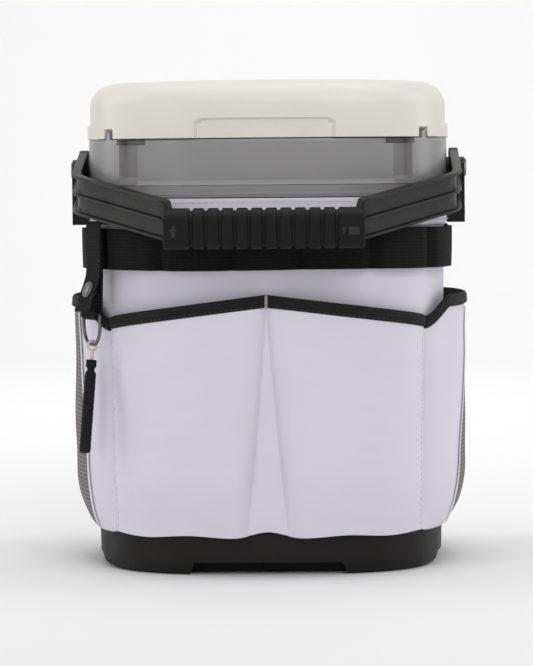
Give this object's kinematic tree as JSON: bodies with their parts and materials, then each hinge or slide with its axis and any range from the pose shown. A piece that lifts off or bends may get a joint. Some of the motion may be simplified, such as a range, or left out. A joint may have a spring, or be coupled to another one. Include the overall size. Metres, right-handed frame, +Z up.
{
  "type": "tool bucket organizer",
  "caption": "Rounded square tool bucket with a hinged lid, swinging bail handle, webbing tool loops, outside pockets and a hanging tape toggle.",
  "frame": {"origin": "middle of the flat underside, on the bucket's upright axis", "axes": "+Z up, the front with the stowed bail faces -Y, +X to the right as seen from the front"},
  "size_m": [0.2994, 0.3188, 0.361],
  "materials": {
    "vinyl": "coated, satin",
    "hem_tape": "matt",
    "lid_white": "satin",
    "grey_plastic": "satin",
    "black_plastic": "satin",
    "boot_black": "matt",
    "grip_rubber": "matt",
    "webbing": "woven",
    "pocket_mesh": "open knit",
    "dark_steel": "satin",
    "seal_rubber": "matt",
    "link_nylon": "satin"
  },
  "bodies": {
    "bucket": {"bail_axle_left": "dark_steel", "bail_axle_right": "dark_steel", "base_boot": "boot_black", "bracket_screw_left_front": "dark_steel", "bracket_screw_left_rear": "dark_steel", "bracket_screw_right_front": "dark_steel", "bracket_screw_right_rear": "dark_steel", "front_pocket_binding": "webbing", "front_pocket_panel": "vinyl", "hinge_pin_left": "dark_steel", "hinge_pin_right": "dark_steel", "inner_tub": "grey_plastic", "left_mesh_pocket": "pocket_mesh", "left_pocket_binding": "webbing", "left_pocket_gusset": "vinyl", "pivot_bracket_left": "black_plastic", "pivot_bracket_right": "black_plastic", "rear_pocket_binding": "webbing", "rear_pocket_panel": "vinyl", "right_mesh_pocket": "pocket_mesh", "right_pocket_binding": "webbing", "right_pocket_gusset": "vinyl", "rim_collar": "grey_plastic", "sleeve_top_binding": "hem_tape", "snap_stud": "dark_steel", "strap_inner": "webbing", "vinyl_sleeve": "vinyl", "webbing_front": "webbing", "webbing_rear": "webbing"},
    "lid": {"lid_shell": "lid_white", "lid_liner": "grey_plastic", "lid_gasket": "seal_rubber"},
    "bail": {"bail_frame": "black_plastic", "bail_grip": "grip_rubber"},
    "flap": {"strap_flap": "webbing", "snap_cap": "dark_steel"},
    "ring": {"strap_ring": "dark_steel"},
    "toggle": {"toggle_eye": "link_nylon", "tape_toggle": "grip_rubber"}
  },
  "joints": [
    {"name": "lid_hinge", "type": "hinge", "parent": "bucket", "child": "lid", "pos_m": [0, 0.1325, 0.3163], "axis": [-1, 0, 0], "range_deg": [0, 105]},
    {"name": "bail_hinge", "type": "hinge", "parent": "bucket", "child": "bail", "pos_m": [0, 0, 0.294], "axis": [-1, 0, 0], "range_deg": [0, 105]},
    {"name": "flap_hinge", "type": "hinge", "parent": "bucket", "child": "flap", "pos_m": [-0.12226, -0.0883, 0.2557], "axis": [-0.5371, 0.8435, 0], "range_deg": [0, 25]},
    {"name": "ring_swing", "type": "hinge", "parent": "bucket", "child": "ring", "pos_m": [-0.12833, -0.09216, 0.1885], "axis": [-0.5371, 0.8435, 0], "range_deg": [0, 75]},
    {"name": "toggle_swing", "type": "hinge", "parent": "ring", "child": "toggle", "pos_m": [-0.12833, -0.09216, 0.167], "axis": [-0.5371, 0.8435, 0], "range_deg": [0, 45]}
  ]
}
